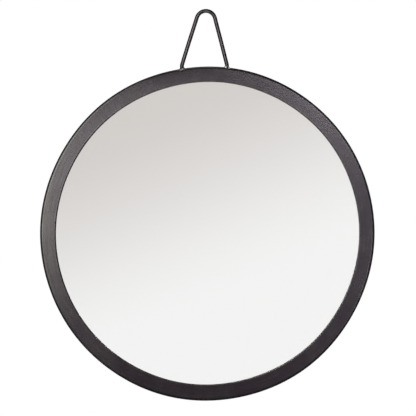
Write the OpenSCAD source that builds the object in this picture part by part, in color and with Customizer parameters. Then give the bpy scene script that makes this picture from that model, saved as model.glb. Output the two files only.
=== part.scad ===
// Round wall mirror in a blackened iron frame: a strip bent to a hoop, a flat
// ring welded in its front, a bent rod welded on top as the hanging loop, and
// the mirror glass held in from behind by a board and bent-over tabs.
// The origin is the hang point, inside the top of the loop and half way
// through the frame's depth. The mirror faces -Y, the wall is at +Y, +Z is up.

/* [Frame] */
// Outer diameter of the frame
frame_d = 500; // [350:1:700]
// Width of the flat face, from the frame's outer edge to the glass in view
face_w = 23.5; // [16:0.5:40]
// Thickness of the flat face ring
face_t = 1.5; // [1:0.1:3]
// Radius on the face ring's inner front edge
face_edge_r = 1.2; // [0.2:0.1:1.3]
// Width of the hoop's strip, which is the frame's depth from front to back
hoop_depth = 15; // [14.5:0.5:25]
// Thickness of the hoop's strip
hoop_t = 2; // [1.5:0.1:4]
// Radius dressed on the hoop's outer front edge
hoop_edge_r = 1.8; // [0.5:0.1:2.5]
// Radius on the hoop's two rear edges
hoop_rear_r = 0.4; // [0.2:0.1:0.7]

/* [Hanging loop] */
// Diameter of the rod
rod_d = 6; // [4.5:0.1:8]
// Height of the hang point above the top of the frame
loop_h = 80; // [50:1:140]
// Inside radius of the bend at the top of the loop
loop_inner_r = 11; // [6:0.5:20]
// Angle between the loop's two legs
loop_spread = 32.3; // [20:0.1:60]
// Lean of the loop off plumb, which splays the left leg more than the right
loop_lean = 2; // [-5:0.1:5]
// Inside radius of the small bend just above each foot
foot_inner_r = 2; // [2:0.5:8]
// Height above the top of the frame at which the foot bends start
foot_h = 2.5; // [1:0.5:10]

/* [Welds] */
// Radius of the bead round each foot of the loop
bead_r = 2.3; // [1:0.1:2.6]
// Width of the bead that closes the hoop's joint on the inside
seam_w = 4; // [3:0.5:8]
// Height of that bead off the hoop's inner wall
seam_h = 1.2; // [0.5:0.1:1.4]
// Leg of the corner tacks between the face ring and the hoop
tack_leg = 1.8; // [1:0.1:2.5]
// Length of each corner tack along the hoop
tack_len = 14; // [8:1:30]
// Number of corner tacks
tack_count = 8; // [4:1:16]

/* [Glazing] */
// Thickness of the adhesive tape between the face ring and the glass
tape_t = 1; // [0.5:0.1:2]
// Set-back of the tape from the face ring's inner edge
tape_setback = 2.5; // [1:0.5:5]
// Distance of the tape's outer edge inside the edge of the glass
tape_margin = 2; // [0:0.5:5]
// Thickness of the mirror glass
glass_t = 4; // [3:0.5:6]
// Width of the ground arris on the edges of the glass
glass_arris = 0.5; // [0.2:0.1:0.8]
// Gap between the edge of the glass and the tabs
glass_gap = 2; // [1:0.5:4]
// Thickness of the silvering with its grey backing paint
silver_t = 0.2; // [0.1:0.1:0.4]
// Thickness of the card that cushions the silvering
card_t = 1; // [0.5:0.1:2]
// Thickness of the backing board
board_t = 3; // [2:0.5:5]
// Gap between the edge of the board and the start of the tabs' bends
board_gap = 0.5; // [0.2:0.1:2]

/* [Tabs] */
// Number of bent-over tabs
tab_count = 8; // [4:1:12]
// Thickness of the tabs
tab_t = 1; // [0.6:0.1:1.4]
// Width of a tab
tab_w = 12; // [8:0.5:18]
// Reach of a tab from the hoop's wall over the board
tab_reach = 16; // [13:0.5:25]
// Inside radius of a tab's bend
tab_bend_r = 0.8; // [0.4:0.1:1.5]

/* [Bumpers] */
// Diameter of a bumper where it sticks to the board
bumper_d = 12.7; // [8:0.1:20]
// Diameter of a bumper at the wall
bumper_wall_d = 10; // [6:0.1:12]
// Bevel round a bumper's wall end
bumper_bevel = 0.8; // [0.3:0.1:1.2]
// Height of the bumpers' straight foot on the board
bumper_foot_h = 1; // [0.5:0.1:2]
// Distance that the bumpers stand out behind the hoop
wall_gap = 1.5; // [0.5:0.1:4]
// Clearance between the bumpers and the circle that the tabs reach in to
bumper_gap = 2; // [1:0.5:15]

/* [Hidden] */
// Facets that a preview gives a full circle of the frame
$fn = 256;
// Facets that a preview gives the rod and the beads round its feet
rod_fn = 64;
// Overrun of a cutting shape past the surface that it cuts
overrun = 0.1;
// Least flat that is left beside a dressed edge
edge_land = 0.2;
// Gap along the hoop's wall between the corner tacks and the tabs' roots
root_gap = 0.5;
// How much thicker the rod is in its bends than in its straight runs
bend_swell = 0.05;
// How far a straight run reaches into the bend that it meets
run_lap = 0.3;

// Places on the ring
front_y = -hoop_depth / 2;
ring_z = -loop_h - frame_d / 2;
hoop_in_r = frame_d / 2 - hoop_t;
face_in_r = frame_d / 2 - face_w;
edge_r = min(hoop_edge_r, hoop_t - edge_land);
inner_edge_r = min(face_edge_r, face_t - edge_land);

// Depths of the layers behind the front face
glass_front = face_t + tape_t;
glass_back = glass_front + glass_t;
card_front = glass_back + silver_t;
board_front = card_front + card_t;
board_back = board_front + board_t;

// Radii of the layers
glass_r = hoop_in_r - tab_t - glass_gap;
fold_r = hoop_in_r - tab_t - tab_bend_r;
board_r = fold_r - board_gap;
tab_tip_r = hoop_in_r - tab_reach;
bumper_ring_r = tab_tip_r - bumper_gap - bumper_d / 2;

// The loop's rod, measured on its centre line
bend_r = loop_inner_r + rod_d / 2;
bend_z = -loop_inner_r;
foot_r = foot_inner_r + rod_d / 2;
splay_left = loop_spread / 2 + loop_lean;
splay_right = loop_spread / 2 - loop_lean;

// Angles round the ring run clockwise seen from the front, from 3 o'clock
seam_angle = 90;
tab_pitch = 360 / tab_count;
tack_pitch = 360 / tack_count;
tack_sweep = tack_len / hoop_in_r * 180 / PI;
bumper_count = 4;
bumper_pitch = 360 / bumper_count;

// Length of a leg's straight stretch, from the top bend to the foot bend
function leg_run(splay) =
    (loop_h - foot_h - loop_inner_r + bend_r * sin(splay)) / cos(splay);

// Distance of a foot's centre line from the plumb line through the hang point
function foot_x(splay) =
    bend_r * cos(splay) + leg_run(splay) * sin(splay) + foot_r * (1 - cos(splay));

// Fall of the frame's outer edge below its top, a distance x to the side
function rim_fall(x) = frame_d / 2 - sqrt(pow(frame_d / 2, 2) - x * x);

// Places a piece that is drawn round the Z axis, with its height measured back
// from the frame's front face
module on_ring_axis() {
    translate([0, front_y, ring_z]) rotate([-90, 0, 0]) children();
}

// What rounding takes off a section's corner: the corner is at the origin and
// the section lies to its left and above it
module corner_relief(r) {
    difference() {
        translate([-r, -overrun]) square([r + overrun, r + overrun]);
        translate([-r, r]) circle(r);
    }
}

// Solid disc as large as the frame, which copes what is welded to its rim
module rim_disc() {
    on_ring_axis() cylinder(r = frame_d / 2, h = hoop_depth);
}

module hoop_section() {
    difference() {
        translate([hoop_in_r, 0]) square([hoop_t, hoop_depth]);
        translate([frame_d / 2, 0]) corner_relief(edge_r);
        translate([frame_d / 2, hoop_depth]) mirror([0, 1]) corner_relief(hoop_rear_r);
        translate([hoop_in_r, hoop_depth]) rotate(180) corner_relief(hoop_rear_r);
    }
}

module rim_hoop() {
    color("#343135") on_ring_axis() rotate_extrude() hoop_section();
}

module face_ring_section() {
    difference() {
        translate([face_in_r, 0]) square([hoop_in_r - face_in_r, face_t]);
        translate([face_in_r, 0]) mirror([1, 0]) corner_relief(inner_edge_r);
    }
}

module face_ring() {
    color("#4a464b") on_ring_axis() rotate_extrude() face_ring_section();
}

// Quarter-round fillets in the hidden corner behind the face ring
module ring_tacks() {
    color("#57534f") on_ring_axis()
        for (i = [0:tack_count - 1])
            rotate(seam_angle + (i + 0.5) * tack_pitch - tack_sweep / 2)
                rotate_extrude(angle = tack_sweep)
                    translate([hoop_in_r, face_t]) intersection() {
                        circle(tack_leg);
                        translate([-tack_leg, 0]) square(tack_leg);
                    }
}

// Low bead along the joint of the hoop's strip, from the face ring to the rear
module seam_weld() {
    set_back = (pow(seam_w / 2, 2) - seam_h * seam_h) / (2 * seam_h);
    length = hoop_depth - hoop_rear_r - face_t;
    sweep = 2 * asin(seam_w / 2 / hoop_in_r);
    color("#57534f") on_ring_axis() rotate(seam_angle) intersection() {
        translate([hoop_in_r + set_back, 0, face_t])
            cylinder(r = set_back + seam_h, h = length);
        rotate(-sweep / 2) rotate_extrude(angle = sweep)
            translate([hoop_in_r - seam_w, face_t]) square([seam_w, length]);
    }
}

// A straight run of rod, down from the origin, with its ends inside the bends
module rod_run(length) {
    translate([0, 0, -length - run_lap])
        cylinder(d = rod_d, h = length + 2 * run_lap, $fn = rod_fn);
}

// A bend of rod round the Y axis, from the +X side downwards
module rod_bend(r, turn) {
    rotate([-90, 0, 0]) rotate_extrude(angle = turn, $fn = rod_fn)
        translate([r, 0]) circle(d = rod_d + bend_swell, $fn = rod_fn);
}

// The leg on the +X side, its foot bend, and the foot, which is left long
// enough to be coped
module loop_leg(splay) {
    run = leg_run(splay);
    foot_len = foot_h + rim_fall(foot_x(splay) + rod_d / 2) + rod_d;
    translate([0, 0, bend_z]) rotate([0, -splay, 0]) {
        translate([bend_r, 0, 0]) rod_run(run);
        translate([bend_r - foot_r, 0, -run]) {
            rod_bend(foot_r, splay);
            rotate([0, splay, 0]) translate([foot_r, 0, 0]) rod_run(foot_len);
        }
    }
}

module hanger_loop() {
    color("#3d3a3c") difference() {
        union() {
            translate([0, 0, bend_z]) rotate([0, 180 + splay_left, 0])
                rod_bend(bend_r, 180 - loop_spread);
            loop_leg(splay_right);
            mirror([1, 0, 0]) loop_leg(splay_left);
        }
        rim_disc();
    }
}

// Bead round the foot on the +X side, seated on the rim and on the rod
module foot_weld(splay) {
    difference() {
        translate([0, 0, ring_z]) rotate([0, asin(foot_x(splay) / (frame_d / 2)), 0])
            translate([0, 0, frame_d / 2])
                rotate_extrude($fn = rod_fn)
                    translate([rod_d / 2, 0]) circle(bead_r, $fn = rod_fn);
        loop_leg(splay);
        rim_disc();
    }
}

module hanger_weld_left() {
    color("#6a6668") mirror([1, 0, 0]) foot_weld(splay_left);
}

module hanger_weld_right() {
    color("#6a6668") foot_weld(splay_right);
}

module glazing_tape() {
    inner_r = face_in_r + tape_setback;
    color("#1d1d1f") on_ring_axis() rotate_extrude()
        translate([inner_r, face_t]) square([glass_r - tape_margin - inner_r, tape_t]);
}

module mirror_glass() {
    color("#cfe3dc", 0.5) on_ring_axis() translate([0, 0, glass_front])
        rotate_extrude() polygon([
            [0, 0],
            [glass_r - glass_arris, 0],
            [glass_r, glass_arris],
            [glass_r, glass_t - glass_arris],
            [glass_r - glass_arris, glass_t],
            [0, glass_t]
        ]);
}

module silver_backing() {
    color("#d6d6d4") on_ring_axis() translate([0, 0, glass_back])
        cylinder(r = glass_r - glass_arris, h = silver_t);
}

module cushion_card() {
    color("#8d8a84") on_ring_axis() translate([0, 0, card_front])
        cylinder(r = glass_r, h = card_t);
}

module backing_board() {
    color("#8a6a49") on_ring_axis() translate([0, 0, board_front])
        cylinder(r = board_r, h = board_t);
}

// Root against the hoop's wall, bend, and flap over the board
module tab_section() {
    root_start = face_t + tack_leg + root_gap;
    fold_depth = board_back - tab_bend_r;
    outer_bend_r = tab_bend_r + tab_t;
    translate([hoop_in_r - tab_t, root_start]) square([tab_t, fold_depth - root_start]);
    translate([fold_r, fold_depth]) intersection() {
        difference() {
            circle(outer_bend_r);
            circle(tab_bend_r);
        }
        square(outer_bend_r);
    }
    translate([tab_tip_r, board_back]) square([fold_r - tab_tip_r, tab_t]);
}

// Round-ended tongue, as it is sheared before it is bent
module tab_outline() {
    tip_centre = tab_tip_r + tab_w / 2;
    translate([tip_centre, -tab_w / 2]) square([frame_d / 2 - tip_centre, tab_w]);
    translate([tip_centre, 0]) circle(d = tab_w);
}

// Tab number i, sheared out of a sector that is twice as wide as its tongue
module tab(i) {
    sector = 4 * asin(tab_w / 2 / tab_tip_r);
    color("#343135") on_ring_axis() rotate((i - 0.5) * tab_pitch) intersection() {
        rotate(-sector / 2) rotate_extrude(angle = sector) tab_section();
        linear_extrude(hoop_depth) tab_outline();
    }
}

// Bumper number i, tapered towards the wall
module bumper(i) {
    height = hoop_depth + wall_gap - board_back;
    color("#2b2b2b") on_ring_axis()
        rotate((i - 0.5) * bumper_pitch) translate([bumper_ring_r, 0, board_back])
            rotate_extrude() polygon([
                [0, 0],
                [bumper_d / 2, 0],
                [bumper_d / 2, bumper_foot_h],
                [bumper_wall_d / 2, height - bumper_bevel],
                [bumper_wall_d / 2 - bumper_bevel, height],
                [0, height]
            ]);
}

rim_hoop();
face_ring();
ring_tacks();
seam_weld();
hanger_loop();
hanger_weld_left();
hanger_weld_right();
glazing_tape();
mirror_glass();
silver_backing();
cushion_card();
backing_board();
for (i = [1:tab_count]) tab(i);
for (i = [1:bumper_count]) bumper(i);
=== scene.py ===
"""Round wall mirror in a blackened iron frame with a welded hanging loop.

Metres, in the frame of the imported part: the origin is the hang point, the
mirror faces -Y, +Z is up.
"""

from math import asin, atan2, cos, hypot, pi, radians, sin, sqrt, tan

import bmesh
import bpy
from mathutils import Matrix, Vector, noise


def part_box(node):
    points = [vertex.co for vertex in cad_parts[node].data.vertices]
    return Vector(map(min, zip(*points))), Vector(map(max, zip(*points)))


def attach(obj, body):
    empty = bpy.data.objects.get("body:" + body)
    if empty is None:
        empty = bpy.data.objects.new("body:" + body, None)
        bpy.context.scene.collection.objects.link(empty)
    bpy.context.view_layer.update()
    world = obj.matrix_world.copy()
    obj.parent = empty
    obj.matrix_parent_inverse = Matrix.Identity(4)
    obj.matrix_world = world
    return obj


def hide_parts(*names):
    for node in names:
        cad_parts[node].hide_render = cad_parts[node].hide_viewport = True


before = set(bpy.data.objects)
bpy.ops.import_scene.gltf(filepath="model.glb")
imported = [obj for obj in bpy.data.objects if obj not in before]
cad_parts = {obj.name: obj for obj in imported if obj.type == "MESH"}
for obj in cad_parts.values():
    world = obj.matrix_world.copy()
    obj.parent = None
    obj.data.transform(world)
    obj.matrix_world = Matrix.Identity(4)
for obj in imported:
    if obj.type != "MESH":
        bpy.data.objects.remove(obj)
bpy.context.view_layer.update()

MM = 0.001


def radius_of(node):
    """Radius of a round node whose axis lies along Y."""
    low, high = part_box(node)
    return (high.x - low.x) / 2


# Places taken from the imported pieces
hoop_low, hoop_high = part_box("rim_hoop")
face_low, face_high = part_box("face_ring")
board_low, board_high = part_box("backing_board")
silver_low, silver_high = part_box("silver_backing")
bumper_low, bumper_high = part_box("bumper_1")
FRAME_R = radius_of("rim_hoop")
RING_Z = (hoop_high.z + hoop_low.z) / 2
RING_CENTRE = (0, 0, RING_Z)
FRONT_Y, REAR_Y = hoop_low.y, hoop_high.y
GLASS_R = radius_of("mirror_glass")
SILVER_R = radius_of("silver_backing")
BOARD_R = radius_of("backing_board")

# Hoop and face
HOOP_T = 2 * MM
HOOP_IN_R = FRAME_R - HOOP_T
HOOP_FRONT_ROUND = 1.8 * MM
HOOP_REAR_ROUND = 0.4 * MM
FACE_T = face_high.y - face_low.y
FACE_IN_R = 226.5 * MM
FACE_EDGE_ROUND = 1.2 * MM
JOINT_GROOVE = 0.12 * MM
LIP_W = 2.4 * MM
LIP_FALL = 0.2 * MM
LIP_START = 3 * MM
SHEET_SWELL = 0.04 * MM
SWELL_SCALE, SWELL_SLICE = 26, 3.7
FACE_CUTS, FACE_CUT_OVER = 24, 10 * MM

# Waves round the ring, which is rolled and cut by hand: how many, how high, and
# the place of a crest, clockwise from 3 o'clock seen from the front. The first
# keeps the hoop within the part's box
HOOP_WAVES = (
    (0, -0.17 * MM, 0),
    (2, 0.48 * MM, radians(132)),
    (3, 0.19 * MM, radians(90)),
    (6, 0.21 * MM, radians(55)),
    (8, 0.19 * MM, radians(10)),
)
OPENING_WAVES = (
    (1, 0.41 * MM, radians(311)),
    (2, 0.67 * MM, radians(144)),
    (6, 0.13 * MM, radians(48)),
    (8, 0.19 * MM, radians(5)),
)
RADIUS_NAME = "radius_when_round"

# Hanging rod, on its centre line
ROD_R = 3 * MM
BEND_R = 14 * MM
BEND_Z = -11 * MM
FOOT_BEND_R = 5 * MM
LEG_END_UP = 2.5 * MM
FOOT_SUNK = 0.6 * MM
LOOP_HEIGHT = -hoop_high.z
SPLAY_LEFT = radians(18.15)
SPLAY_RIGHT = radians(14.15)
ROD_UNEVEN, ROD_UNEVEN_SCALE = 0.02 * MM, 60
ROD_SIDES, FOOT_STEPS, FOOT_BEND_STEPS, LEG_STEPS, TOP_STEPS = 40, 4, 8, 40, 56

# How far the legs are drawn in at their feet, and from what height down
DRAWN_LEFT, DRAWN_RIGHT = 0.5 * MM, 0.3 * MM
DRAWN_FROM = -40 * MM

# Weld beads round the feet, which end where BEAD_CUT is reached below the rim.
# A ripple or lump is a share of the bead's own size
BEAD_RING_R = ROD_R - 0.1 * MM
BEAD_R = 1.15 * MM
BEAD_CUT = 1.9 * MM
BEAD_SIDES, BEAD_STEPS = 20, 120
BEAD_RIPPLES, BEAD_RIPPLE = 11, 0.08
BEAD_LUMP, BEAD_LUMP_SCALE = 0.14, 620
TOE_LUMP, TOE_LUMP_SCALE = 0.10, 1.7
TOE_BEHIND_FRONT = 0.03 * MM

# Weld bead on the joint of the hoop's strip
SEAM_W = 4 * MM
SEAM_H = 1.2 * MM
SEAM_SUNK = 0.6 * MM
SEAM_PITCH = 1.5 * MM
SEAM_RIPPLE = 0.22
SEAM_LUMP, SEAM_LUMP_SCALE = 0.15, 700
SEAM_SIDES, SEAM_STEPS = 14, 44

# Tabs, which follow the hoop's waves
TAB_COUNT = 8
TAB_T = 1 * MM
TAB_W = 12 * MM
TAB_TIP_R = 232 * MM
TAB_BEND_R = 0.8 * MM
TAB_ROOT_DEPTH = 3.8 * MM
TAB_FOLD_R = HOOP_IN_R - TAB_T - TAB_BEND_R
TAB_EDGE_ROUND = 0.12 * MM
TAB_COLUMNS, TAB_ROOT_ROWS, TAB_BEND_ROWS, TAB_FLAP_ROWS = 16, 4, 7, 12

# Board
BOARD_FRONT_ROUND, BOARD_REAR_ROUND = 0.3 * MM, 0.4 * MM

# Bumpers
BUMPER_COUNT = 4
BUMPER_STEPS = 72
BUMPER_FOOT_R = (bumper_high.x - bumper_low.x) / 2
BUMPER_WALL_R = 5 * MM
BUMPER_FOOT_H = 1 * MM
BUMPER_ROUND = 0.8 * MM
BUMPER_FOOT_ROUND = 0.3 * MM

# Silver coat
SILVER_SUNK = 0.02 * MM

# Mesh
MERGE = 0.001 * MM
RING_STEPS = 360
DISC_STEPS = 256

# Camera: its distance, the width it sees there, and how it stands and leans
VIEW_DISTANCE = 4.0
VIEW_WIDTH = 0.62137
SENSOR = 36.0
CAMERA_X, CAMERA_UP = 1.255 * MM, 38.08 * MM
CAMERA_ROLL = radians(0.397)
CAMERA_SEES = (0.1, 60)

# The shade across what the mirror shows: its direction, its two edges, and its
# colour against white. The edges are in a measure in which half the picture's
# width is SHADE_HALF_WIDTH
SHADE_HALF_WIDTH = 0.18
SHADE_WAY = (-0.3875, 0.9219)
SHADE_FROM, SHADE_TO = -0.0807, 0.1051
SHADE_SCALE = SHADE_HALF_WIDTH / (VIEW_WIDTH / 2 / VIEW_DISTANCE)
SHADE_COLOUR = (0.7244, 0.6905, 0.6684)

# Studio floor
FLOOR_Z = -1.0
FLOOR_R, FLOOR_SIDES = 5, 96

# Tones of the studio, from low to high where there are two
ROOM_TONE = (0.60, 0.92)
WALL_TONE = (0.08, 0.12)
WALL_AHEAD = 0.6
WALL_BEHIND = 0.25
SOFT_TONE = (0.36, 1.0)

# Lamps: name, place from the frame's middle, width, height, radiance, colour
LAMPS = (
    ("softbox_left", (-0.49, -1.309, 0.554), 0.49, 1.399, 6.0, (1.0, 0.985, 0.94)),
    ("softbox_right", (0.441, -1.509, 0.352), 0.44, 0.101, 21.0, (1.0, 1.0, 1.0)),
    ("softbox_low", (0.775, -2.192, -0.29), 0.112, 0.5, 21.0, (1.0, 1.0, 1.0)),
)


# Run of the rod


def leg_run(splay):
    """Length of a leg's straight stretch."""
    return (LOOP_HEIGHT - LEG_END_UP + BEND_Z + BEND_R * sin(splay)) / cos(splay)


def leg_line(splay):
    """Where a leg's centre line would cross the level of the hang point."""
    return BEND_R * cos(splay) + (BEND_Z + BEND_R * sin(splay)) * tan(splay)


def foot_x(splay):
    """How far a foot would stand from the middle if its leg weren't drawn in."""
    return BEND_R * cos(splay) + leg_run(splay) * sin(splay) + FOOT_BEND_R * (1 - cos(splay))


def wave_height(waves, angle):
    """How far an edge stands out at an angle, clockwise from 3 o'clock."""
    return sum(height * cos(count * (angle - crest)) for count, height, crest in waves)


def rim_top(x):
    """Height of the hoop's top at a distance x from the middle."""
    up = sqrt(FRAME_R**2 - x * x)
    return RING_Z + up + wave_height(HOOP_WAVES, atan2(-up, x))


LEFT_FOOT_X = DRAWN_LEFT - foot_x(SPLAY_LEFT)
RIGHT_FOOT_X = foot_x(SPLAY_RIGHT) - DRAWN_RIGHT


# Finishes


class Nodes:
    """A node tree that is built node by node. Values are numbers or sockets."""

    def __init__(self, tree):
        self.tree = tree

    def add(self, kind, settings=None, **inputs):
        """A new node with its inputs by name."""
        node = self.tree.nodes.new(kind)
        for key, value in (settings or {}).items():
            setattr(node, key, value)
        for key, value in inputs.items():
            self.give(node, key, value)
        return node

    def give(self, node, key, value):
        socket = node.inputs[key if isinstance(key, int) else key.replace("_", " ")]
        if isinstance(value, bpy.types.NodeSocket):
            self.tree.links.new(value, socket)
        else:
            socket.default_value = value

    def math(self, operation, *values):
        node = self.add("ShaderNodeMath", {"operation": operation})
        for number, value in enumerate(values):
            self.give(node, number, value)
        return node.outputs[0]

    def chain(self, operation, first, *others):
        for other in others:
            first = self.math(operation, first, other)
        return first

    def product(self, *values):
        return self.chain("MULTIPLY", *values)

    def total(self, *values):
        return self.chain("ADD", *values)

    def most(self, *values):
        return self.chain("MAXIMUM", *values)

    def length(self, a, b):
        """Length of the vector (a, b)."""
        return self.math("SQRT", self.total(self.product(a, a), self.product(b, b)))

    def vector(self, x, y, z):
        return self.add("ShaderNodeCombineXYZ", X=x, Y=y, Z=z).outputs[0]

    def split(self, vector):
        return self.add("ShaderNodeSeparateXYZ", Vector=vector).outputs

    def span(self, value, low, high, to_low=0.0, to_high=1.0, smooth=False):
        """Carries the stretch from low to high over to to_low to to_high."""
        return self.add(
            "ShaderNodeMapRange",
            {"interpolation_type": "SMOOTHSTEP" if smooth else "LINEAR"},
            Value=value,
            From_Min=low,
            From_Max=high,
            To_Min=to_low,
            To_Max=to_high,
        ).outputs[0]

    def blend(self, factor, first, second):
        node = self.add("ShaderNodeMix", {"data_type": "RGBA"})
        self.give(node, 0, factor)
        for number, colour in ((6, first), (7, second)):
            if isinstance(colour, tuple):
                colour = (*colour, 1.0)
            self.give(node, number, colour)
        return node.outputs[2]


class Finish(Nodes):
    """A material on a piece's own coordinates, centred where it is asked to be."""

    def __init__(self, name, centre=(0, 0, 0)):
        self.material = bpy.data.materials.new(name)
        self.material.use_nodes = True
        super().__init__(self.material.node_tree)
        self.surface = self.tree.nodes["Principled BSDF"]
        where = self.add("ShaderNodeTexCoord").outputs["Object"]
        self.place = self.add(
            "ShaderNodeMapping",
            Vector=where,
            Location=tuple(-value for value in centre),
        ).outputs[0]

    def set(self, **inputs):
        for key, value in inputs.items():
            self.give(self.surface, key, value)

    def axes(self):
        return self.split(self.place)

    def radius(self):
        """Distance from the frame's axis."""
        x, _, z = self.axes()
        return self.length(x, z)

    def ring_radius(self):
        """The same on a piece with waves, as if it were round."""
        return self.add("ShaderNodeAttribute", {"attribute_name": RADIUS_NAME}).outputs["Fac"]

    def grain(self, scale, detail=3.0, roughness=0.5, vector=None, distortion=0.0):
        return self.add(
            "ShaderNodeTexNoise",
            Vector=vector or self.place,
            Scale=scale,
            Detail=detail,
            Roughness=roughness,
            Distortion=distortion,
        ).outputs["Fac"]

    def stretched(self, along_x, along_y, along_z):
        """Coordinates with a scale of their own along each axis."""
        scales = (along_x, along_y, along_z)
        return self.vector(*[self.product(axis, scale) for axis, scale in zip(self.axes(), scales)])

    def round_the_ring(self, across, along):
        """Coordinates for streaks that run round the frame, with no seam."""
        x, y, z = self.axes()
        r = self.ring_radius()
        return self.vector(
            self.product(r, across),
            self.math("MULTIPLY_ADD", self.math("DIVIDE", x, r), along, self.product(y, across)),
            self.product(self.math("DIVIDE", z, r), along),
        )

    def bump(self, height, distance, strength=1.0, normal=None):
        node = self.add("ShaderNodeBump", Height=height, Distance=distance, Strength=strength)
        if normal is not None:
            self.give(node, "Normal", normal)
        return node.outputs[0]

    def streaked(self, value, low, high, smooth, rough, streak, depth):
        """Roughness that goes with value and is drawn out into streaks."""
        drawn = self.product(self.math("SUBTRACT", streak, 0.5), depth)
        return self.total(self.span(value, low, high, smooth, rough), drawn)

    def rim_mark(self, x, r, half_x, half_r):
        """One inside a soft oval spot at the frame's top, at a place x and radius r."""
        across = self.math("DIVIDE", self.math("SUBTRACT", self.axes()[0], x), half_x)
        out = self.math("DIVIDE", self.math("SUBTRACT", self.ring_radius(), r), half_r)
        away = self.total(self.product(across, across), self.product(out, out))
        upper = self.math("GREATER_THAN", self.axes()[2], 0.0)
        return self.product(upper, self.span(away, 1.2, 0.3))


def weld_run_glint(look):
    """Weld metal that ran down from the left foot over the joint, painted pale as its glint."""
    return look.rim_mark(LEFT_FOOT_X - 0.5 * MM, FRAME_R - 1.4 * MM, 3.8 * MM, 1.3 * MM)


def face_shade_and_dark_joint(look, x, z, r, inner, right):
    """Painted shade on the inner edge's left, a dark line beside the joint, and a painted shadow under the
    left foot's weld.
    """
    return look.most(
        look.product(inner, look.math("SUBTRACT", 1.0, right)),
        look.product(look.span(x, -0.20, -0.08), look.span(r, HOOP_IN_R - 1.9 * MM, HOOP_IN_R - 0.8 * MM)),
        look.product(
            look.span(z, -0.16, -0.05, 0.3, 0.85),
            look.span(r, HOOP_IN_R - 1.45 * MM, HOOP_IN_R - 0.85 * MM),
        ),
        # painted shadow under the left foot's weld
        look.rim_mark(LEFT_FOOT_X + 0.7 * MM, FRAME_R - 3.8 * MM, 2.2 * MM, 1.7 * MM),
    )


def face_brushing(look, x, z):
    """Faint brushing along the ring, or across it on the upper left; clearest on the left."""
    across = look.grain(1, 2, 0.6, look.round_the_ring(60, 110))
    along = look.grain(1, 2, 0.6, look.round_the_ring(320, 6))
    which = look.product(look.span(z, 0.10, 0.14), look.span(x, 0.0, -0.05))
    brushed = look.math("MULTIPLY_ADD", which, look.math("SUBTRACT", across, along), along)
    depth = look.span(x, -0.02, -0.12, 0.25, 0.8)
    return look.math("MULTIPLY_ADD", look.math("SUBTRACT", brushed, 0.5), depth, 1.0)


def face_polish(look, x, z, r):
    """Polished towards the mirror on the upper left, dull at the top beside the hoop
    and at the bottom."""
    upper_left = look.product(look.span(x, 0.02, -0.04), look.span(z, 0.12, 0.19))
    polish = look.math("MULTIPLY_ADD", upper_left, look.span(r, HOOP_IN_R, FACE_IN_R, -0.12, 0.28), 0.81)
    crown = look.product(look.span(x, -0.11, -0.06), look.span(x, 0.045, 0.0), look.span(z, 0.1, 0.15))
    dull = look.product(crown, look.span(r, FACE_IN_R + 5 * MM, HOOP_IN_R))
    polish = look.math("MULTIPLY_ADD", dull, -0.26, polish)
    polish = look.math("MULTIPLY_ADD", look.span(z, -0.205, -0.225), -0.18, polish)
    return look.product(polish, face_brushing(look, x, z))


def face_tint(look, x, z):
    """Colour of the face's sheen: violet, browner on the left and most so low down."""
    brown = look.blend(look.span(z, 0.02, 0.14), (0.99, 0.957, 0.968), (0.99, 0.947, 0.995))
    return look.blend(look.span(x, -0.04, -0.14), (1.0, 0.93, 1.0), brown)


def face_iron():
    """Blackened sheet with faint rolling streaks and cloudy patches."""
    look = Finish("face_iron", RING_CENTRE)
    x, _, z = look.axes()
    r = look.ring_radius()
    cloud = look.grain(22, 4, 0.55)
    patch = look.grain(75, 5, 0.6)
    streak = look.grain(1, 3, 0.6, look.round_the_ring(900, 5))
    grit = look.grain(1900, 2, 0.5)
    shade = look.total(look.product(cloud, 0.6), look.product(patch, 0.4))
    hue = look.span(cloud, 0.35, 0.65)
    dark = look.blend(hue, (0.0100, 0.0045, 0.0098), (0.0088, 0.0052, 0.0082))
    pale = look.blend(hue, (0.0165, 0.0095, 0.0160), (0.0145, 0.0102, 0.0138))
    colour = look.blend(look.span(shade, 0.34, 0.66), dark, pale)
    # painted highlight: the inner edge is paler on the right, where its rounding faces the light from the
    # upper left
    inner = look.span(r, FACE_IN_R + 1.6 * MM, FACE_IN_R + 0.6 * MM)
    right = look.span(x, -0.19, -0.09)
    edge_highlight_amount = look.product(look.span(patch, 0.36, 0.60, 0.4, 1), look.span(x, -0.02, 0.14, 0.25, 0.7))
    painted_edge_highlight = look.product(inner, right, edge_highlight_amount)
    colour = look.blend(painted_edge_highlight, colour, (0.076, 0.066, 0.044))
    # painted highlight: a pale line runs beside the joint on the left, where the lip catches the left
    # light
    left = look.product(look.span(x, -0.14, -0.20), look.span(z, -0.14, 0.0))
    line = look.product(left, look.span(r, HOOP_IN_R - 3 * MM, HOOP_IN_R - 1.7 * MM))
    colour = look.blend(line, colour, (0.062, 0.057, 0.043))
    # painted shade on the inner edge's left and a painted shadow under the left foot, with a dark line
    # beside the joint; then the weld metal at the left foot, painted pale as its glint
    shade_and_dark_joint = face_shade_and_dark_joint(look, x, z, r, inner, right)
    run_glint = weld_run_glint(look)
    colour = look.blend(shade_and_dark_joint, colour, (0.0048, 0.0040, 0.0046))
    colour = look.blend(run_glint, colour, (0.15, 0.14, 0.14))
    black = look.math("SUBTRACT", shade_and_dark_joint, run_glint)
    peel = look.bump(look.grain(75, 1.5, 0.5), 0.10 * MM, 0.14)
    lines = look.bump(streak, 0.012 * MM, look.span(x, 0.0, -0.15, 0.06, 0.6), peel)
    look.set(
        Base_Color=colour,
        Roughness=look.streaked(shade, 0.3, 0.7, 0.235, 0.285, streak, 0.10),
        Specular_IOR_Level=look.span(black, 0, 1, face_polish(look, x, z, r), 0.12),
        Specular_Tint=face_tint(look, x, z),
        Normal=look.bump(grit, 0.010 * MM, 0.12, lines),
    )
    return look.material


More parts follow.
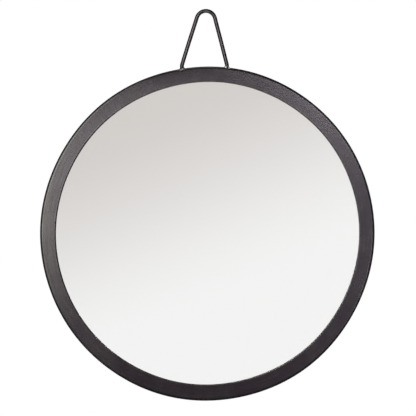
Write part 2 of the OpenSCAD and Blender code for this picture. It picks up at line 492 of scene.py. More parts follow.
def hoop_iron():
    """Blackened strip, darker on its dressed front edge than on its walls."""
    look = Finish("hoop_iron", RING_CENTRE)
    x, y, z = look.axes()
    r = look.ring_radius()
    cloud = look.grain(30, 4, 0.55)
    scale_marks = look.grain(220, 5, 0.6)
    streak = look.grain(1, 3, 0.6, look.round_the_ring(700, 9))
    grit = look.grain(1700, 2, 0.5)
    shade = look.total(look.product(cloud, 0.5), look.product(scale_marks, 0.5))
    colour = look.blend(look.span(shade, 0.36, 0.64), (0.0085, 0.0072, 0.0082), (0.0165, 0.0145, 0.0160))
    # the narrow flat beside the joint is worn
    flat = look.product(
        look.span(r, HOOP_IN_R + 0.5 * MM, HOOP_IN_R + 0.1 * MM),
        look.span(y, FRONT_Y + 0.4 * MM, FRONT_Y + 0.1 * MM),
    )
    wear = look.product(flat, look.span(scale_marks, 0.50, 0.66), 0.5)
    colour = look.blend(wear, colour, (0.030, 0.027, 0.025))
    # the walls keep their grey mill scale
    wall = look.span(y, FRONT_Y + HOOP_FRONT_ROUND, FRONT_Y + 3 * MM)
    mill = look.blend(look.span(scale_marks, 0.36, 0.64), (0.026, 0.0235, 0.025), (0.045, 0.0415, 0.043))
    colour = look.blend(wall, colour, mill)
    # painted highlight: the crown is paler grey, where its rounding catches the light from above
    crown = look.product(
        look.span(z, FRAME_R - 10 * MM, FRAME_R - 4 * MM),
        look.span(x, 0.045, 0.01),
        look.span(scale_marks, 0.3, 0.6, 0.6, 1),
    )
    colour = look.blend(crown, colour, (0.064, 0.059, 0.063))
    # weld metal at the left foot, painted pale as its glint
    colour = look.blend(look.product(weld_run_glint(look), 0.9), colour, (0.16, 0.15, 0.15))
    # the strip's two ends were joined at the bottom and dressed flush
    off_seam = look.math("ABSOLUTE", look.total(x, look.product(scale_marks, 1.2 * MM)))
    seam = look.product(look.span(off_seam, 2.6 * MM, 1.2 * MM), look.span(z, -0.2, -0.22), 0.55)
    colour = look.blend(seam, colour, (0.050, 0.045, 0.044))
    look.set(
        Base_Color=colour,
        Roughness=look.streaked(scale_marks, 0.3, 0.7, 0.42, 0.54, streak, 0.12),
        Specular_IOR_Level=look.span(wall, 0, 1, 0.05, 0.5),
        Normal=look.bump(grit, 0.014 * MM, 0.5, look.bump(scale_marks, 0.06 * MM, 0.3)),
    )
    return look.material


def rod_side(look, x, z):
    """The same number all the way along a leg, rising outwards across it."""
    slope = look.span(x, -0.1 * MM, 0.1 * MM, tan(SPLAY_LEFT), tan(SPLAY_RIGHT))
    down = look.span(z, DRAWN_FROM, -LOOP_HEIGHT)
    drawn = look.product(down, down, look.span(x, -0.1 * MM, 0.1 * MM, DRAWN_LEFT, DRAWN_RIGHT))
    return look.math("MULTIPLY_ADD", z, slope, look.total(look.math("ABSOLUTE", x), drawn))


def rod_front(look, x, z, side):
    """One along the rod's front, which is rubbed bright, and low on its matt sides."""
    middle = look.span(x, -0.1 * MM, 0.1 * MM, leg_line(SPLAY_LEFT), leg_line(SPLAY_RIGHT))
    off_leg = look.product(look.math("SUBTRACT", side, middle), cos(SPLAY_LEFT))
    above = look.math("SUBTRACT", z, BEND_Z)
    off_bend = look.math("SUBTRACT", look.length(x, above), BEND_R)
    on_bend = look.math("GREATER_THAN", above, BEND_R * sin(SPLAY_LEFT))
    off = look.math("MULTIPLY_ADD", on_bend, look.math("SUBTRACT", off_bend, off_leg), off_leg)
    to_right = look.math("MULTIPLY_ADD", off, look.span(x, -4 * MM, 4 * MM, -1, 1), 0.28 * MM)
    return look.span(look.math("ABSOLUTE", to_right), 0.3 * MM, 1.4 * MM, 1, 0.2)


def rod_iron():
    """Drawn rod: fine streaks along its legs, sooty above the welds."""
    look = Finish("rod_iron")
    x, y, z = look.axes()
    side = rod_side(look, x, z)
    along = look.vector(look.product(side, 1100), look.product(y, 1100), look.product(z, 45))
    streak = look.grain(1, 2, 0.5, along)
    cloud = look.grain(90, 3, 0.5)
    grit = look.grain(2200, 2, 0.5)
    colour = look.blend(look.span(cloud, 0.35, 0.65), (0.0050, 0.0028, 0.0044), (0.0078, 0.0050, 0.0070))
    soot = look.product(
        look.span(z, -LOOP_HEIGHT + 9 * MM, -LOOP_HEIGHT + 2 * MM),
        look.span(cloud, 0.25, 0.55, 0.5, 1),
    )
    colour = look.blend(look.product(soot, 0.8), colour, (0.0030, 0.0027, 0.0028))
    # the nail rubs the inside of the top bend
    nail = look.length(x, z)
    worn = look.product(look.span(nail, 6.7 * MM, 3.6 * MM), look.span(cloud, 0.42, 0.58))
    colour = look.blend(look.product(worn, 0.6), colour, (0.055, 0.050, 0.047))
    # the top bend is handled dull
    dull = look.most(soot, look.span(z, -6 * MM, 0.5 * MM))
    look.set(
        Base_Color=colour,
        Roughness=look.streaked(cloud, 0.3, 0.7, 0.36, 0.40, streak, 0.05),
        IOR=1.9,
        Specular_IOR_Level=look.product(rod_front(look, x, z, side), look.span(dull, 0, 1, 0.42, 0.28)),
        Specular_Tint=(1.0, 0.94, 0.985, 1.0),
        Normal=look.bump(grit, 0.006 * MM, 0.2, look.bump(streak, 0.004 * MM, 0.2)),
    )
    return look.material


def weld_metal():
    """Weld beads: dark scale, rubbed through to bare metal on what stands proud, painted pale to stand in
    for the beads' glint.
    """
    look = Finish("weld_metal")
    x, y, _ = look.axes()
    lump = look.grain(420, 4, 0.6)
    fleck = look.grain(1300, 3, 0.6)
    # bare metal, painted pale as the beads' glint
    bare_and_glint = look.product(look.span(lump, 0.36, 0.50), look.span(y, -4.2 * MM, -5.2 * MM))
    scale = look.blend(look.span(fleck, 0.4, 0.6), (0.012, 0.010, 0.010), (0.030, 0.024, 0.022))
    metal = look.blend(look.span(fleck, 0.35, 0.65), (0.36, 0.335, 0.335), (0.54, 0.51, 0.51))
    # the left bead's bare metal and painted glint are dimmer
    shown_glint = look.product(bare_and_glint, look.span(x, -0.02, 0.02, 0.6, 1))
    look.set(
        Base_Color=look.blend(shown_glint, scale, metal),
        Metallic=look.product(bare_and_glint, 0.3),
        Roughness=look.span(lump, 0.3, 0.7, 0.52, 0.34),
        Specular_IOR_Level=0.6,
        Normal=look.bump(fleck, 0.05 * MM, 0.5),
    )
    return look.material


def tab_iron():
    """Sheared tabs: scale that has flaked where they were bent over."""
    look = Finish("tab_iron", RING_CENTRE)
    cloud = look.grain(120, 4, 0.6)
    fleck = look.grain(900, 4, 0.6)
    fold = look.span(look.radius(), TAB_FOLD_R - 2.7 * MM, TAB_FOLD_R - 0.2 * MM)
    flaked = look.product(fold, look.span(fleck, 0.46, 0.58), 0.8)
    colour = look.blend(look.span(cloud, 0.35, 0.65), (0.010, 0.009, 0.0095), (0.024, 0.0215, 0.021))
    look.set(
        Base_Color=look.blend(flaked, colour, (0.13, 0.115, 0.105)),
        Roughness=look.span(cloud, 0.3, 0.7, 0.36, 0.5),
        Specular_IOR_Level=0.6,
        Normal=look.bump(fleck, 0.02 * MM, 0.5),
    )
    return look.material


def glass():
    """Clear float glass that shows its green only at the ground edge."""
    look = Finish("clear_glass", RING_CENTRE)
    rim = look.span(look.radius(), GLASS_R - 1.2 * MM, GLASS_R - 0.4 * MM)
    edge = look.product(rim, look.span(look.grain(500, 3), 0.2, 0.6, 0.7, 1))
    look.set(
        Base_Color=look.blend(edge, (0.985, 0.992, 0.988), (0.42, 0.62, 0.53)),
        Roughness=look.product(edge, 0.35),
        Transmission_Weight=1.0,
        IOR=1.5,
    )
    return look.material


def silvering():
    """Silver coat, grey paint on its back, with a dull creep at the very edge."""
    look = Finish("silvering", RING_CENTRE)
    _, y, _ = look.axes()
    wander = look.total(look.radius(), look.product(look.grain(160, 4), 3 * MM))
    creep = look.span(wander, SILVER_R + 0.5 * MM, SILVER_R + 1.7 * MM)
    paint = look.span(y, silver_low.y + 0.05 * MM, silver_low.y + 0.12 * MM)
    dull = look.most(creep, paint)
    tone = look.blend(look.grain(5, 2), (0.945, 0.939, 0.939), (0.949, 0.943, 0.943))
    grey = look.blend(look.grain(900, 2), (0.13, 0.14, 0.15), (0.16, 0.17, 0.18))
    look.set(
        Base_Color=look.blend(dull, tone, grey),
        Metallic=look.math("SUBTRACT", 1.0, dull),
        Roughness=look.product(dull, 0.6),
    )
    return look.material


def foam_tape():
    """Black foam with open cells."""
    look = Finish("foam_tape", RING_CENTRE)
    cell = look.grain(1500, 3, 0.6)
    look.set(
        Base_Color=look.blend(look.span(cell, 0.35, 0.65), (0.008, 0.008, 0.0085), (0.018, 0.018, 0.0185)),
        Roughness=look.span(cell, 0.3, 0.7, 0.95, 0.8),
        Specular_IOR_Level=0.25,
        Normal=look.bump(cell, 0.12 * MM, 0.7),
    )
    return look.material


def grey_card():
    """Recycled card: fibres that lie one way, with dark flecks."""
    look = Finish("grey_card", RING_CENTRE)
    fibre = look.grain(1, 4, 0.6, look.stretched(900, 900, 260))
    fleck = look.grain(700, 5, 0.65)
    colour = look.blend(look.span(fibre, 0.35, 0.65), (0.27, 0.25, 0.215), (0.38, 0.355, 0.315))
    look.set(
        Base_Color=look.blend(look.span(fleck, 0.62, 0.70), colour, (0.16, 0.14, 0.12)),
        Roughness=0.9,
        Specular_IOR_Level=0.25,
        Normal=look.bump(fibre, 0.06 * MM, 0.6),
    )
    return look.material


def fibre_board():
    """Hardboard: pressed fibres, a darker rim, and the weave of the press screen."""
    look = Finish("fibre_board", RING_CENTRE)
    x, _, z = look.axes()
    upright = look.grain(1, 5, 0.65, look.stretched(420, 900, 150), 0.8)
    cross = look.grain(1, 5, 0.65, look.stretched(140, 900, 460), 0.8)
    fibre = look.most(upright, cross)
    cloud = look.grain(11, 3, 0.5)
    rim = look.span(look.radius(), BOARD_R - 3 * MM, BOARD_R)
    colour = look.blend(look.span(fibre, 0.40, 0.72), (0.125, 0.070, 0.036), (0.30, 0.185, 0.105))
    colour = look.blend(look.span(cloud, 0.35, 0.65, 0, 0.45), colour, (0.17, 0.098, 0.052))
    colour = look.blend(look.product(rim, 0.6), colour, (0.060, 0.034, 0.019))
    mesh_pitch = 2 * pi / (1.4 * MM)
    screen = look.product(*[look.math("SINE", look.product(axis, mesh_pitch)) for axis in (x, z)])
    look.set(
        Base_Color=colour,
        Roughness=look.span(fibre, 0.3, 0.8, 0.85, 0.62),
        Specular_IOR_Level=0.35,
        Normal=look.bump(screen, 0.05 * MM, 0.6, look.bump(fibre, 0.08 * MM, 0.5)),
    )
    return look.material


def bumper_rubber():
    """Dusty rubber, rubbed pale where it stands against the wall."""
    look = Finish("bumper_rubber", RING_CENTRE)
    _, y, _ = look.axes()
    dust = look.grain(160, 5, 0.65)
    pore = look.grain(1600, 3, 0.5)
    rubbed = look.product(
        look.span(y, bumper_high.y - 0.7 * MM, bumper_high.y - 0.1 * MM),
        look.span(dust, 0.38, 0.6),
        0.6,
    )
    colour = look.blend(look.span(dust, 0.35, 0.7), (0.012, 0.012, 0.0125), (0.030, 0.030, 0.030))
    look.set(
        Base_Color=look.blend(rubbed, colour, (0.085, 0.083, 0.080)),
        Roughness=look.span(dust, 0.3, 0.7, 0.55, 0.75),
        Specular_IOR_Level=0.4,
        Normal=look.bump(pore, 0.03 * MM, 0.5),
    )
    return look.material


# Shapes


def piece(name, bm, material, stands_for, angle=40):
    """Finishes a mesh as a piece of the mirror that stands for a CAD node."""
    mesh = bpy.data.meshes.new(name)
    bm.to_mesh(mesh)
    bm.free()
    mesh.shade_smooth()
    mesh.set_sharp_from_angle(angle=radians(angle))
    mesh.materials.append(material)
    made = bpy.data.objects.new(name, mesh)
    bpy.context.scene.collection.objects.link(made)
    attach(made, "root")
    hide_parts(stands_for)


def dress(node, material):
    """Gives a CAD piece that stays as it is its material."""
    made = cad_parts[node]
    made.data.materials.clear()
    made.data.materials.append(material)


def bend(bm, line, steps, centre, turn, axis=(0, 1, 0)):
    """Carries a line or ring of vertices on round a centre, and gives where it ends."""
    made = bmesh.ops.spin(bm, geom=line, cent=centre, axis=axis, angle=turn, steps=steps)
    return made["geom_last"]


def draw(bm, line, steps, way):
    """Carries a line or ring of vertices straight on along way, and gives where it ends."""
    step = Vector(way) / steps
    made = bmesh.ops.spin(bm, geom=line, axis=(0, 1, 0), dvec=step, angle=0, steps=steps)
    return made["geom_last"]


def spin_full(bm, steps, centre, axis):
    """Turns all that is drawn so far right round an axis."""
    bmesh.ops.spin(
        bm,
        geom=bm.verts[:] + bm.edges[:],
        cent=centre,
        axis=axis,
        angle=2 * pi,
        steps=steps,
        use_merge=True,
    )
    bmesh.ops.remove_doubles(bm, verts=bm.verts[:], dist=MERGE)


def close_up(bm):
    """Merges doubles, caps what is open and turns every face outwards."""
    bmesh.ops.remove_doubles(bm, verts=bm.verts[:], dist=MERGE)
    bmesh.ops.holes_fill(bm, edges=[e for e in bm.edges if e.is_boundary], sides=0)
    bmesh.ops.recalc_face_normals(bm, faces=bm.faces[:])


def turned(outline, steps, rounded=(), centre=(0, RING_Z), solid=False):
    """A (radius, depth) outline turned round an axis along Y through centre.

    rounded gives corner numbers with the radius and segments of their rounding.
    The outline of a solid piece starts and ends on the axis.
    """
    bm = bmesh.new()
    cx, cz = centre
    corners = [bm.verts.new((cx + r, y, cz)) for r, y in outline]
    bm.faces.new(corners)
    for number, size, segments in rounded:
        bmesh.ops.bevel(
            bm,
            geom=[corners[number]],
            offset=size,
            segments=segments,
            profile=0.5,
            affect="VERTICES",
            material=-1,
        )
    bmesh.ops.delete(bm, geom=bm.faces[:], context="FACES_ONLY")
    if solid:  # the stretch along the axis would sweep no face
        on_axis = [e for e in bm.edges if all(abs(v.co.x - cx) < MERGE for v in e.verts)]
        bmesh.ops.delete(bm, geom=on_axis, context="EDGES")
    spin_full(bm, steps, (cx, 0, cz), (0, 1, 0))
    bmesh.ops.recalc_face_normals(bm, faces=bm.faces[:])
    return bm


def add_waves(bm):
    """Moves a ring's vertices out with the hoop, or near the opening with that, and
    notes on each how far out it would be on a round ring."""
    noted = bm.verts.layers.float.new(RADIUS_NAME)
    for v in bm.verts:
        x, z = v.co.x, v.co.z - RING_Z
        angle, r = atan2(-z, x), hypot(x, z)
        v[noted] = r
        inwards = min(1, max(0, (HOOP_IN_R - r) / (HOOP_IN_R - FACE_IN_R)))
        hoop_out, opening_out = [wave_height(w, angle) for w in (HOOP_WAVES, OPENING_WAVES)]
        grown = 1 + (hoop_out + inwards * (opening_out - hoop_out)) / r
        v.co.x, v.co.z = x * grown, RING_Z + z * grown


def hoop():
    """The strip on its edge, with a round dressed front corner and a groove at the joint."""
    bm = turned(
        [(HOOP_IN_R, FRONT_Y), (FRAME_R, FRONT_Y), (FRAME_R, REAR_Y), (HOOP_IN_R, REAR_Y)],
        RING_STEPS,
        [
            (1, HOOP_FRONT_ROUND, 8),
            (2, HOOP_REAR_ROUND, 3),
            (3, HOOP_REAR_ROUND, 3),
            (0, JOINT_GROOVE, 1),
        ],
    )
    add_waves(bm)
    piece("frame_hoop", bm, hoop_iron(), "rim_hoop", angle=30)


def face():
    """The flat ring. Its front is a little uneven, as rolled sheet is."""
    back = FRONT_Y + FACE_T
    bm = turned(
        [(FACE_IN_R, FRONT_Y), (HOOP_IN_R, FRONT_Y), (HOOP_IN_R, back), (FACE_IN_R, back)],
        RING_STEPS,
        [(0, FACE_EDGE_ROUND, 5), (1, JOINT_GROOVE, 1)],
    )

    def out(v):
        """Distance of a vertex from the frame's axis."""
        return hypot(v.co.x, v.co.z - RING_Z)

    def in_front(v):
        return abs(v.co.y - FRONT_Y) < MERGE

    front_edges = [e for e in bm.edges if all(in_front(v) for v in e.verts)]
    across = [e for e in front_edges if abs(out(e.verts[0]) - out(e.verts[1])) > FACE_CUT_OVER]
    bmesh.ops.subdivide_edges(bm, edges=across, cuts=FACE_CUTS, use_grid_fill=True)
    for v in bm.verts:
        inside = HOOP_IN_R - out(v)
        if in_front(v) and out(v) > FACE_IN_R + FACE_EDGE_ROUND + 0.1 * MM:
            spot = Vector((v.co.x * SWELL_SCALE, SWELL_SLICE, v.co.z * SWELL_SCALE))
            swell = SHEET_SWELL * (1 + noise.noise(spot))
            lip = max(0, 1 - inside / LIP_W)
            v.co.y += swell * min(1, inside / LIP_START) + LIP_FALL * lip**2
    add_waves(bm)
    piece("face_ring_plate", bm, face_iron(), "face_ring", angle=30)


def silver():
    """The silver coat, sunk a hair into the glass so that the two surfaces bond."""
    front = silver_low.y - SILVER_SUNK
    bm = turned(
        [(0, front), (SILVER_R, front), (SILVER_R, silver_high.y), (0, silver_high.y)],
        DISC_STEPS,
        solid=True,
    )
    piece("silver_coat", bm, silvering(), "silver_backing", angle=30)


def board():
    bm = turned(
        [(0, board_low.y), (BOARD_R, board_low.y), (BOARD_R, board_high.y), (0, board_high.y)],
        DISC_STEPS,
        [(1, BOARD_FRONT_ROUND, 2), (2, BOARD_REAR_ROUND, 3)],
        solid=True,
    )
    piece("back_board", bm, fibre_board(), "backing_board", angle=30)


def bumper(number, rubber):
    """Bumper with a straight foot on the board and a taper towards the wall."""
    low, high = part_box(f"bumper_{number}")
    bm = turned(
        [
            (0, low.y),
            (BUMPER_FOOT_R, low.y),
            (BUMPER_FOOT_R, low.y + BUMPER_FOOT_H),
            (BUMPER_WALL_R, high.y),
            (0, high.y),
        ],
        BUMPER_STEPS,
        [(3, BUMPER_ROUND, 5), (2, BUMPER_FOOT_ROUND, 2)],
        centre=((low.x + high.x) / 2, (low.z + high.z) / 2),
        solid=True,
    )
    piece(f"wall_bumper_{number}", bm, rubber, f"bumper_{number}", angle=50)


def foot_bend_centre(splay, side):
    """Centre of the bend between a leg and its foot."""
    x = foot_x(splay) - FOOT_BEND_R
    z = LEG_END_UP - LOOP_HEIGHT - FOOT_BEND_R * sin(splay)
    return Vector((side * x, 0, z))


def hanging_rod():
    """One rod: foot, foot bend, leg, top bend, leg, foot bend, foot."""
    left = foot_bend_centre(SPLAY_LEFT, -1)
    right = foot_bend_centre(SPLAY_RIGHT, 1)
    left_start = left.z - rim_top(LEFT_FOOT_X) + FOOT_SUNK
    right_end = right.z - rim_top(RIGHT_FOOT_X) + FOOT_SUNK
    rise, fall = leg_run(SPLAY_LEFT), leg_run(SPLAY_RIGHT)
    bm = bmesh.new()
    bmesh.ops.create_circle(
        bm,
        cap_ends=False,
        segments=ROD_SIDES,
        radius=ROD_R,
        matrix=Matrix.Translation((-foot_x(SPLAY_LEFT), 0, left.z - left_start)),
    )
    ring = bm.verts[:] + bm.edges[:]
    ring = draw(bm, ring, FOOT_STEPS, (0, 0, left_start))
    ring = bend(bm, ring, FOOT_BEND_STEPS, left, SPLAY_LEFT)
    ring = draw(bm, ring, LEG_STEPS, (rise * sin(SPLAY_LEFT), 0, rise * cos(SPLAY_LEFT)))
    ring = bend(bm, ring, TOP_STEPS, (0, 0, BEND_Z), pi - SPLAY_LEFT - SPLAY_RIGHT)
    ring = draw(bm, ring, LEG_STEPS, (fall * sin(SPLAY_RIGHT), 0, -fall * cos(SPLAY_RIGHT)))
    ring = bend(bm, ring, FOOT_BEND_STEPS, right, SPLAY_RIGHT)
    draw(bm, ring, FOOT_STEPS, (0, 0, -right_end))
    close_up(bm)
    bm.normal_update()
    for v in bm.verts:  # drawn rod is never quite even
        v.co -= v.normal * ROD_UNEVEN * (1 + noise.noise(v.co * ROD_UNEVEN_SCALE))
        down = min(1, max(0, (DRAWN_FROM - v.co.z) / (DRAWN_FROM + LOOP_HEIGHT)))
        v.co.x += down**2 * (DRAWN_LEFT if v.co.x < 0 else -DRAWN_RIGHT)
    piece("hanging_rod", bm, rod_iron(), "hanger_loop", angle=50)


def shape_bead(bm, side, bulges):
    """Gives a plain ring of weld its ripples and bulges."""
    for v in bm.verts:
        a = atan2(v.co.y, v.co.x)
        middle = Vector((cos(a), sin(a), 0)) * BEAD_RING_R
        grow = 1 + BEAD_RIPPLE * abs(sin(BEAD_RIPPLES / 2 * a + side))
        for at, half_width, share in bulges:
            off = abs((a - radians(at) + pi) % (2 * pi) - pi) / radians(half_width)
            grow += share * max(0, cos(min(1, off) * pi / 2)) ** 1.5
        grow += BEAD_LUMP * noise.noise(v.co * BEAD_LUMP_SCALE + Vector((side * 9, 2, 5)))
        v.co = middle + (v.co - middle) * grow


def add_toe(bm, side, centre, sizes):
    """Adds a lump of weld that has run on to the rim, but not past the frame's front."""
    lump = bmesh.ops.create_uvsphere(bm, u_segments=36, v_segments=22, radius=1)["verts"]
    for v in lump:
        spot = v.co * TOE_LUMP_SCALE + Vector((side * 5, centre[0], 1))
        swell = 1 + TOE_LUMP * noise.noise(spot)
        v.co = Vector([(c + s * q * swell) * MM for c, s, q in zip(centre, sizes, v.co)])
        v.co.y = max(v.co.y, FRONT_Y + TOE_BEHIND_FRONT)


def foot_bead(name, x, node, weld, bulges, toes):
    """Weld round a foot, with ripples, bulges, and toes that run on to the rim.

    Both are given in the rim's tangent plane, x to the right and y to the rear.
    bulges are (angle from +x, half width, share added); toes are (centre, half
    sizes) of the lumps, in mm.
    """
    side = 1 if x > 0 else -1
    bm = bmesh.new()
    bmesh.ops.create_circle(
        bm,
        cap_ends=False,
        segments=BEAD_SIDES,
        radius=BEAD_R,
        matrix=Matrix.Translation((BEAD_RING_R, 0, 0)) @ Matrix.Rotation(pi / 2, 4, "X"),
    )
    spin_full(bm, BEAD_STEPS, (0, 0, 0), (0, 0, 1))
    shape_bead(bm, side, bulges)
    for centre, sizes in toes:
        add_toe(bm, side, centre, sizes)
    bmesh.ops.bisect_plane(
        bm,
        geom=bm.verts[:] + bm.edges[:] + bm.faces[:],
        dist=MERGE,
        plane_co=(0, 0, -BEAD_CUT),
        plane_no=(0, 0, -1),
        clear_outer=True,
    )
    close_up(bm)
    on_rim = Matrix.Translation((x, 0, rim_top(x)))
    lean = Matrix.Rotation(asin(x / FRAME_R), 4, "Y")
    bmesh.ops.transform(bm, matrix=on_rim @ lean, verts=bm.verts[:])
    piece(name, bm, weld, node, angle=60)


def seam_bead(weld):
    """Low rippled bead on the joint of the strip, inside the hoop's bottom."""
    start, end = FRONT_Y + FACE_T, REAR_Y - HOOP_REAR_ROUND
    wall_z = RING_Z - HOOP_IN_R
    below = (SEAM_W**2 / 4 - SEAM_H**2) / (2 * SEAM_H)
    half = asin(SEAM_W / 2 / (below + SEAM_H))
    bm = bmesh.new()
    corner = bm.verts.new((-SEAM_W / 2, start, wall_z))
    far_corner = bend(bm, [corner], SEAM_SIDES, (0, start, wall_z - below), 2 * half)[0]
    feet = [bm.verts.new((v.co.x, start, wall_z - SEAM_SUNK)) for v in (corner, far_corner)]
    for pair in ((corner, feet[0]), feet, (feet[1], far_corner)):
        bm.edges.new(pair)
    draw(bm, bm.verts[:] + bm.edges[:], SEAM_STEPS, (0, end - start, 0))
    close_up(bm)
    for v in bm.verts:
        lift = v.co.z - wall_z
        if lift > 0:
            ripple = 1 - SEAM_RIPPLE * abs(sin(pi * (v.co.y - start) / SEAM_PITCH))
            ripple += SEAM_LUMP * noise.noise(v.co * SEAM_LUMP_SCALE)
            v.co.z = wall_z + lift * min(1.0, ripple)
    piece("seam_bead", bm, weld, "seam_weld", angle=60)


def tab_skin(bm):
    """Outer skin of a tab at 3 o'clock: root, bend, and a flap with a round tip."""
    root_y = FRONT_Y + TAB_ROOT_DEPTH
    bend_y = board_high.y - TAB_BEND_R
    across = [TAB_W * (column / TAB_COLUMNS - 0.5) for column in range(TAB_COLUMNS + 1)]
    row = [bm.verts.new((HOOP_IN_R, root_y, z)) for z in across]
    line = row + [bm.edges.new(pair) for pair in zip(row, row[1:])]
    line = draw(bm, line, TAB_ROOT_ROWS, (0, bend_y - root_y, 0))
    line = bend(bm, line, TAB_BEND_ROWS, (TAB_FOLD_R, bend_y, 0), pi / 2, axis=(0, 0, 1))
    before = set(bm.verts)
    draw(bm, line, TAB_FLAP_ROWS, (TAB_TIP_R - TAB_FOLD_R, 0, 0))
    half = TAB_W / 2
    for v in set(bm.verts) - before:
        share = (TAB_FOLD_R - v.co.x) / (TAB_FOLD_R - TAB_TIP_R)
        end = TAB_TIP_R + half - sqrt(max(0, half**2 - v.co.z**2))
        v.co.x = TAB_FOLD_R + share * (end - TAB_FOLD_R)
    bmesh.ops.remove_doubles(bm, verts=bm.verts[:], dist=MERGE)
    bmesh.ops.recalc_face_normals(bm, faces=bm.faces[:])
    on_wall = max(bm.faces, key=lambda side: side.calc_center_median().x)
    if on_wall.normal.x < 0:
        bmesh.ops.reverse_faces(bm, faces=bm.faces[:])


def tab(number, iron):
    """Tongue from the hoop's wall, bent over the board, with its sheared edges eased.

    It moves with the hoop's wave at its middle.
    """
    bm = bmesh.new()
    tab_skin(bm)
    bmesh.ops.solidify(bm, geom=bm.faces[:], thickness=TAB_T)
    bmesh.ops.recalc_face_normals(bm, faces=bm.faces[:])
    sharp = [e for e in bm.edges if e.is_manifold and e.calc_face_angle(0) > radians(60)]
    bmesh.ops.bevel(
        bm,
        geom=sharp,
        offset=TAB_EDGE_ROUND,
        segments=2,
        profile=0.5,
        affect="EDGES",
        material=-1,
    )
    angle = (number - 0.5) * 2 * pi / TAB_COUNT
    to_wall = Matrix.Translation((wave_height(HOOP_WAVES, angle), 0, 0))
    turn = Matrix.Translation(RING_CENTRE) @ Matrix.Rotation(angle, 4, "Y")
    bmesh.ops.transform(bm, matrix=turn @ to_wall, verts=bm.verts[:])
    piece(f"clamp_tab_{number}", bm, iron, f"tab_{number}", angle=35)


# The mirror's pieces


def frame_pieces():
    """The welded iron: hoop, face, rod, beads and tabs."""
    weld, iron = weld_metal(), tab_iron()
    hoop()
    face()
    hanging_rod()
    foot_bead(
        "foot_weld_left",
        LEFT_FOOT_X,
        "hanger_weld_left",
        weld,
        bulges=[(-25, 70, 0.35)],
        toes=[((1.0, -5.1, -0.8), (1.7, 3.2, 1.5)), ((-1.7, -5.0, -1.2), (1.8, 3.0, 1.3))],
    )
    foot_bead(
        "foot_weld_right",
        RIGHT_FOOT_X,
        "hanger_weld_right",
        weld,
        bulges=[(-165, 60, 0.5), (-10, 50, 0.2)],
        toes=[((-2.0, -5.1, 0.1), (2.0, 3.2, 1.8)), ((3.4, -5.0, -0.7), (2.0, 3.0, 1.2))],
    )
    seam_bead(weld)
    dress("ring_tacks", weld)
    for number in range(1, TAB_COUNT + 1):
        tab(number, iron)


def fitted_pieces():
    """What the tabs hold, from the front to the rear, and the bumpers."""
    dress("glazing_tape", foam_tape())
    dress("mirror_glass", glass())
    silver()
    dress("cushion_card", grey_card())
    board()
    rubber = bumper_rubber()
    for number in range(1, BUMPER_COUNT + 1):
        bumper(number, rubber)


# Studio


def studio_floor():
    """Pale floor that keeps the shadow and runs out into the white backdrop."""
    mesh = bpy.data.meshes.new("studio_floor")
    bm = bmesh.new()
    bmesh.ops.create_circle(bm, cap_ends=True, segments=FLOOR_SIDES, radius=FLOOR_R)
    bmesh.ops.translate(bm, verts=bm.verts[:], vec=(0, 0, FLOOR_Z))
    bm.to_mesh(mesh)
    bm.free()
    made = bpy.data.objects.new("studio_floor", mesh)
    bpy.context.scene.collection.objects.link(made)
    look = Finish("studio_floor")
    look.set(
        Base_Color=look.blend(look.grain(3, 2), (0.80, 0.80, 0.80), (0.82, 0.82, 0.82)),
        Roughness=0.9,
        Specular_IOR_Level=0.2,
    )
    x, y, _ = look.axes()
    far = look.span(look.length(x, y), 0.9, 2.6, smooth=True)
    rays = look.add("ShaderNodeLightPath").outputs
    seen = look.most(rays["Is Camera Ray"], rays["Is Glossy Ray"], rays["Is Transmission Ray"])
    # a ray out of the glass counts as both, so that this is one for iron alone
    iron = look.math("SUBTRACT", rays["Is Glossy Ray"], rays["Is Transmission Ray"])
    tone = look.blend(iron, (1.0, 1.0, 1.0), (0.08, 0.08, 0.08))
    mixed = look.add("ShaderNodeMixShader")
    look.give(mixed, 0, look.product(far, seen))
    look.give(mixed, 1, look.surface.outputs[0])
    look.give(mixed, 2, look.add("ShaderNodeEmission", Color=tone).outputs[0])
    look.give(look.tree.nodes["Material Output"], "Surface", mixed.outputs[0])
    made.data.materials.append(look.material)


def shade_panel(look, x, z, front):
    """White wall ahead of the mirror with a straight soft-edged grey shade across it."""
    ahead = look.most(front, 0.05)
    across = look.product(look.math("DIVIDE", x, ahead), SHADE_SCALE * SHADE_WAY[0])
    along = look.product(look.math("DIVIDE", z, ahead), SHADE_SCALE * SHADE_WAY[1])
    shade = look.span(look.total(across, along), SHADE_TO, SHADE_FROM, smooth=True)
    return look.blend(shade, SHADE_COLOUR, (1.0, 1.0, 1.0))


def dim_walls(look, y, z, front):
    """Dim grey walls, which only the black iron shows."""
    height = look.span(z, -0.6, 0.8, *WALL_TONE)
    ahead = look.span(front, cos(radians(38)), cos(radians(24)), 1.0, WALL_AHEAD, smooth=True)
    behind = look.span(y, -0.85, 0.1, 1.0, WALL_BEHIND, smooth=True)
    return look.product(height, ahead, behind)


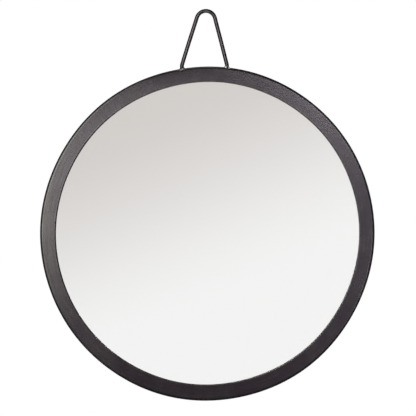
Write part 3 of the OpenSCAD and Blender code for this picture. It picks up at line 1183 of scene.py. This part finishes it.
def studio_surroundings():
    """White backdrop, and the room that the mirror and the iron show."""
    world = bpy.data.worlds.new("studio")
    bpy.context.scene.world = world
    world.use_nodes = True
    world.cycles.sampling_method = "NONE"
    look = Nodes(world.node_tree)
    x, y, z = look.split(look.add("ShaderNodeTexCoord").outputs["Generated"])
    front = look.product(y, -1.0)
    rays = look.add("ShaderNodeLightPath").outputs
    near_axis = look.span(front, cos(radians(12)), cos(radians(4.2)), smooth=True)
    room = look.span(z, -0.6, 0.8, *ROOM_TONE)
    mirrored = look.blend(near_axis, look.vector(room, room, room), shade_panel(look, x, z, front))
    walls = dim_walls(look, y, z, front)
    seen = look.blend(rays["Is Transmission Ray"], look.vector(walls, walls, walls), mirrored)
    backdrop = look.span(y, cos(radians(22)), cos(radians(10)), smooth=True)
    seen = look.blend(backdrop, seen, (1.0, 1.0, 1.0))
    shiny = look.most(rays["Is Glossy Ray"], rays["Is Transmission Ray"])
    soft = look.span(y, -0.2, 0.6, *SOFT_TONE)
    light = look.blend(shiny, look.vector(soft, soft, soft), seen)
    light = look.blend(rays["Is Camera Ray"], light, (1.0, 1.0, 1.0))
    look.give(look.tree.nodes["Background"], "Color", light)


def softbox(name, place, width, height, radiance, colour):
    """Area lamp that faces the middle of the frame, at place from there."""
    lamp = bpy.data.lights.new(name, "AREA")
    lamp.shape = "RECTANGLE"
    lamp.size, lamp.size_y = width, height
    lamp.energy = radiance * pi * width * height
    lamp.color = colour
    made = bpy.data.objects.new(name, lamp)
    made.location = Vector(place) + Vector(RING_CENTRE)
    made.rotation_euler = (-Vector(place)).to_track_quat("-Z", "Y").to_euler()
    made.visible_camera = False
    bpy.context.scene.collection.objects.link(made)


def camera():
    """Camera that looks along +Y at the frame's middle, from a little above it."""
    data = bpy.data.cameras.new("camera")
    data.lens, data.sensor_width = SENSOR * VIEW_DISTANCE / VIEW_WIDTH, SENSOR
    data.clip_start, data.clip_end = CAMERA_SEES
    made = bpy.data.objects.new("camera", data)
    made.location = (CAMERA_X, FRONT_Y - VIEW_DISTANCE, RING_Z + CAMERA_UP)
    made.rotation_euler = (pi / 2, CAMERA_ROLL, 0)
    bpy.context.scene.collection.objects.link(made)
    bpy.context.scene.camera = made


frame_pieces()
fitted_pieces()
studio_floor()
studio_surroundings()
for lamp in LAMPS:
    softbox(*lamp)
camera()
bpy.context.scene.view_settings.view_transform = "Standard"
